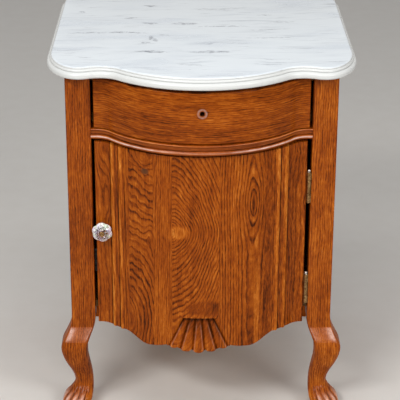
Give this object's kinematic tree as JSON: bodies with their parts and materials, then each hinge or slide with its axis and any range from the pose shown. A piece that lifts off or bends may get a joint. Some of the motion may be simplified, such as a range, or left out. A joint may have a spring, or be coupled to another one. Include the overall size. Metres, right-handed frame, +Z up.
{
  "type": "bedside pot cupboard",
  "caption": "Oak bedside cupboard with a marble top, a bowed drawer over a bowed door with a carved lower edge, and cabriole front legs.",
  "frame": {"origin": "on the floor, below the middle of the bounding box", "axes": "+Z up, the front with the door and drawer faces -Y, +X to the right as seen from the front"},
  "size_m": [0.55, 0.514, 0.682],
  "materials": {
    "oak": "satin varnish over golden-brown oak",
    "pine": "bare, darkened pine",
    "marble": "polished white marble with thin grey veins",
    "brass": "aged brass",
    "steel": "dull steel",
    "glass": "clear pressed glass"
  },
  "bodies": {
    "case": {"marble_top": "marble", "front_leg_left": "oak", "front_leg_right": "oak", "back_leg_left": "oak", "back_leg_right": "oak", "side_rail_top_left": "oak", "side_rail_top_right": "oak", "side_rail_low_left": "oak", "side_rail_low_right": "oak", "side_panel_left": "oak", "side_panel_right": "oak", "back_rail_top": "oak", "back_rail_middle": "oak", "back_rail_low": "oak", "back_panel_upper": "pine", "back_panel_lower": "pine", "front_top_rail": "pine", "drawer_rail": "oak", "runner_left": "pine", "runner_right": "pine", "guide_left": "pine", "guide_right": "pine", "kicker_left": "pine", "kicker_right": "pine", "bottom_board": "pine", "cleat_left": "pine", "cleat_right": "pine", "hinge_frame_leaf_upper": "brass", "hinge_frame_leaf_lower": "brass", "hinge_pin_upper": "brass", "hinge_pin_lower": "brass", "hinge_screws_frame": "brass", "catch_body": "steel", "catch_screws": "brass"},
    "drawer": {"drawer_front": "oak", "drawer_side_left": "pine", "drawer_side_right": "pine", "drawer_back": "pine", "drawer_bottom": "pine"},
    "door": {"door_stave_1": "oak", "door_stave_2": "oak", "door_stave_3": "oak", "door_stave_4": "oak", "door_stave_5": "oak", "door_stave_6": "oak", "hinge_door_leaf_upper": "brass", "hinge_door_leaf_lower": "brass", "hinge_screws_door": "brass", "knob_glass": "glass", "knob_bolt": "brass", "knob_washer": "brass", "knob_nut": "brass", "catch_strike": "steel", "strike_screws": "brass"}
  },
  "joints": [
    {"name": "door_hinge", "type": "hinge", "parent": "case", "child": "door", "pos_m": [0.1922, -0.16, 0.35], "axis": [0, 0, 1], "range_deg": [0, 105]},
    {"name": "drawer_slide", "type": "slide", "parent": "case", "child": "drawer", "axis": [0, -1, 0], "range_m": [0, 0.26]}
  ]
}
